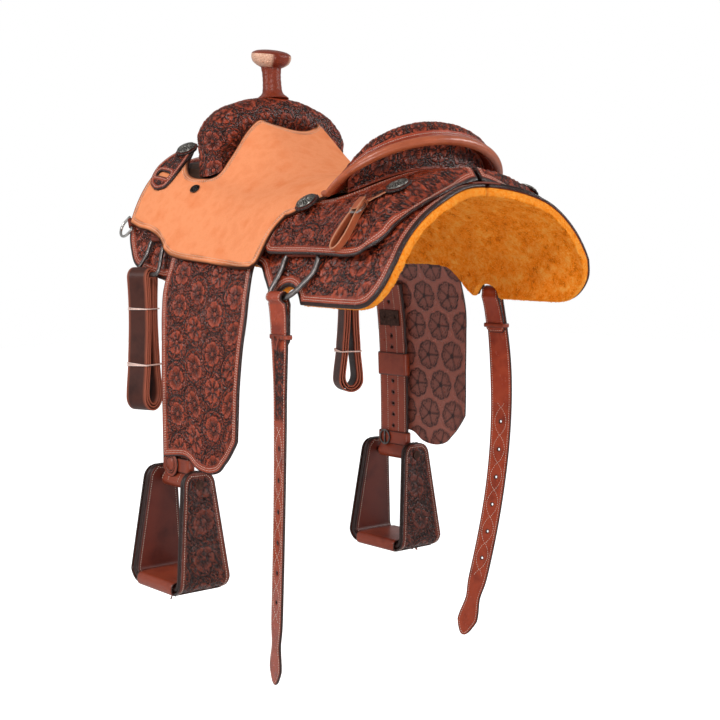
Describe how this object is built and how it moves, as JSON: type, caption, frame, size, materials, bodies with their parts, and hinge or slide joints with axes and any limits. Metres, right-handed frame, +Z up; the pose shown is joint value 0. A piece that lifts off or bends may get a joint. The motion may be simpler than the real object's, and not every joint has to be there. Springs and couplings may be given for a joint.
{
  "type": "western saddle",
  "caption": "Western stock saddle with a wrapped horn, rolled cantle, rough-out seat, round tooled skirts, hanging fenders with bell stirrups and double dee rigging.",
  "frame": {"origin": "underside of the sheepskin lining at its crown on the centre line, under the middle of the seat", "axes": "+Y towards the horse's head, +X to the horse's off (right) side, +Z up; the near (left) side is -X"},
  "size_m": [0.5966, 0.7607, 1.0637],
  "materials": {
    "tooled_leather": "satin",
    "plain_leather": "satin",
    "roughout_leather": "matte",
    "dark_leather": "satin",
    "latigo_leather": "satin",
    "sheepskin": "matte",
    "tree_wood": "matte",
    "rawhide": "satin",
    "rigging_steel": "satin",
    "antique_silver": "satin"
  },
  "bodies": {
    "saddle": {"tree_bars": "tree_wood", "fork": "tree_wood", "cantle_board": "tree_wood", "horn_core": "rigging_steel", "horn_wrap": "dark_leather", "horn_cap": "dark_leather", "swell_cover": "tooled_leather", "ground_seat": "plain_leather", "seat_leather": "roughout_leather", "cantle_cover": "tooled_leather", "cheyenne_roll": "tooled_leather", "roll_binding": "plain_leather", "rear_jockeys": "tooled_leather", "skirt_near": "tooled_leather", "skirt_off": "tooled_leather", "sheepskin_lining": "sheepskin", "skirt_tab": "dark_leather", "rosettes": "dark_leather", "conchos": "antique_silver", "seat_screws": "antique_silver", "latigo_keepers": "tooled_leather", "rigging_straps": "plain_leather", "strap_clips": "antique_silver", "bar_loops": "rigging_steel"},
    "front_dee_near": {"front_dee_near": "rigging_steel"},
    "rear_dee_near": {"rear_dee_near": "rigging_steel"},
    "breast_dee_near": {"breast_dee_near": "rigging_steel"},
    "rear_billet_near": {"rear_billet_near": "tooled_leather"},
    "latigo_near": {"latigo_near": "latigo_leather"},
    "tie_strap_near": {"tie_strap_near": "plain_leather", "tie_buckle_near": "antique_silver"},
    "fender_near": {"fender_near": "tooled_leather", "stirrup_leather_near": "tooled_leather", "pin_buckle_near": "rigging_steel", "hobble_strap_near": "plain_leather", "hobble_buckle_near": "rigging_steel"},
    "sleeve_near": {"leather_sleeve_near": "plain_leather"},
    "stirrup_near": {"stirrup_frame_near": "rawhide", "stirrup_cover_near": "tooled_leather", "tread_cover_near": "plain_leather", "stirrup_bolt_near": "rigging_steel"},
    "front_dee_off": {"front_dee_off": "rigging_steel"},
    "rear_dee_off": {"rear_dee_off": "rigging_steel"},
    "breast_dee_off": {"breast_dee_off": "rigging_steel"},
    "rear_billet_off": {"rear_billet_off": "tooled_leather"},
    "half_breed_off": {"half_breed_off": "latigo_leather"},
    "tie_strap_off": {"tie_strap_off": "plain_leather", "tie_buckle_off": "antique_silver"},
    "fender_off": {"fender_off": "tooled_leather", "stirrup_leather_off": "tooled_leather", "pin_buckle_off": "rigging_steel", "hobble_strap_off": "plain_leather", "hobble_buckle_off": "rigging_steel"},
    "sleeve_off": {"leather_sleeve_off": "plain_leather"},
    "stirrup_off": {"stirrup_frame_off": "rawhide", "stirrup_cover_off": "tooled_leather", "tread_cover_off": "plain_leather", "stirrup_bolt_off": "rigging_steel"}
  },
  "joints": [
    {"name": "fender_swing_near", "type": "hinge", "parent": "saddle", "child": "fender_near", "pos_m": [-0.224, 0.1027, -0.104], "axis": [0.9436, 0, -0.331], "range_deg": [-8, 12]},
    {"name": "sleeve_slide_near", "type": "slide", "parent": "fender_near", "child": "sleeve_near", "axis": [0.0698, 0, 0.9976], "range_m": [0, 0.025]},
    {"name": "stirrup_swing_near", "type": "hinge", "parent": "fender_near", "child": "stirrup_near", "pos_m": [-0.24833, 0.124, -0.474], "axis": [0, 1, 0], "range_deg": [-18, 18]},
    {"name": "rear_dee_lift_near", "type": "hinge", "parent": "saddle", "child": "rear_dee_near", "pos_m": [-0.21292, -0.178, -0.087], "axis": [0, 1, 0], "range_deg": [0, 25]},
    {"name": "rear_billet_swing_near", "type": "hinge", "parent": "rear_dee_near", "child": "rear_billet_near", "pos_m": [-0.23854, -0.147, -0.15375], "axis": [0, 1, 0], "range_deg": [-10, 35]},
    {"name": "front_dee_lift_near", "type": "hinge", "parent": "saddle", "child": "front_dee_near", "pos_m": [-0.21434, 0.234, -0.062], "axis": [0, 1, 0], "range_deg": [0, 25]},
    {"name": "latigo_near_swing", "type": "hinge", "parent": "front_dee_near", "child": "latigo_near", "pos_m": [-0.23583, 0.24, -0.1244], "axis": [0, 1, 0], "range_deg": [-8, 25]},
    {"name": "breast_dee_lift_near", "type": "hinge", "parent": "saddle", "child": "breast_dee_near", "pos_m": [-0.20512, 0.344, -0.03284], "axis": [0.293, 0.707, 0.6436], "range_deg": [0, 60]},
    {"name": "tie_strap_lift_near", "type": "hinge", "parent": "saddle", "child": "tie_strap_near", "pos_m": [-0.1665, -0.285, -0.004], "axis": [0, 1, 0], "range_deg": [0, 60]},
    {"name": "fender_swing_off", "type": "hinge", "parent": "saddle", "child": "fender_off", "pos_m": [0.224, 0.1027, -0.104], "axis": [0.9436, 0, 0.331], "range_deg": [-8, 12]},
    {"name": "sleeve_slide_off", "type": "slide", "parent": "fender_off", "child": "sleeve_off", "axis": [-0.0698, 0, 0.9976], "range_m": [0, 0.025]},
    {"name": "stirrup_swing_off", "type": "hinge", "parent": "fender_off", "child": "stirrup_off", "pos_m": [0.24833, 0.124, -0.474], "axis": [0, -1, 0], "range_deg": [-18, 18]},
    {"name": "rear_dee_lift_off", "type": "hinge", "parent": "saddle", "child": "rear_dee_off", "pos_m": [0.21292, -0.178, -0.087], "axis": [0, -1, 0], "range_deg": [0, 25]},
    {"name": "rear_billet_swing_off", "type": "hinge", "parent": "rear_dee_off", "child": "rear_billet_off", "pos_m": [0.23854, -0.147, -0.15375], "axis": [0, -1, 0], "range_deg": [-10, 35]},
    {"name": "front_dee_lift_off", "type": "hinge", "parent": "saddle", "child": "front_dee_off", "pos_m": [0.21434, 0.234, -0.062], "axis": [0, -1, 0], "range_deg": [0, 25]},
    {"name": "half_breed_off_swing", "type": "hinge", "parent": "front_dee_off", "child": "half_breed_off", "pos_m": [0.23583, 0.24, -0.1244], "axis": [0, -1, 0], "range_deg": [-8, 25]},
    {"name": "breast_dee_lift_off", "type": "hinge", "parent": "saddle", "child": "breast_dee_off", "pos_m": [0.20512, 0.344, -0.03284], "axis": [0.293, -0.707, -0.6436], "range_deg": [0, 60]},
    {"name": "tie_strap_lift_off", "type": "hinge", "parent": "saddle", "child": "tie_strap_off", "pos_m": [0.1665, -0.285, -0.004], "axis": [0, -1, 0], "range_deg": [0, 60]}
  ]
}
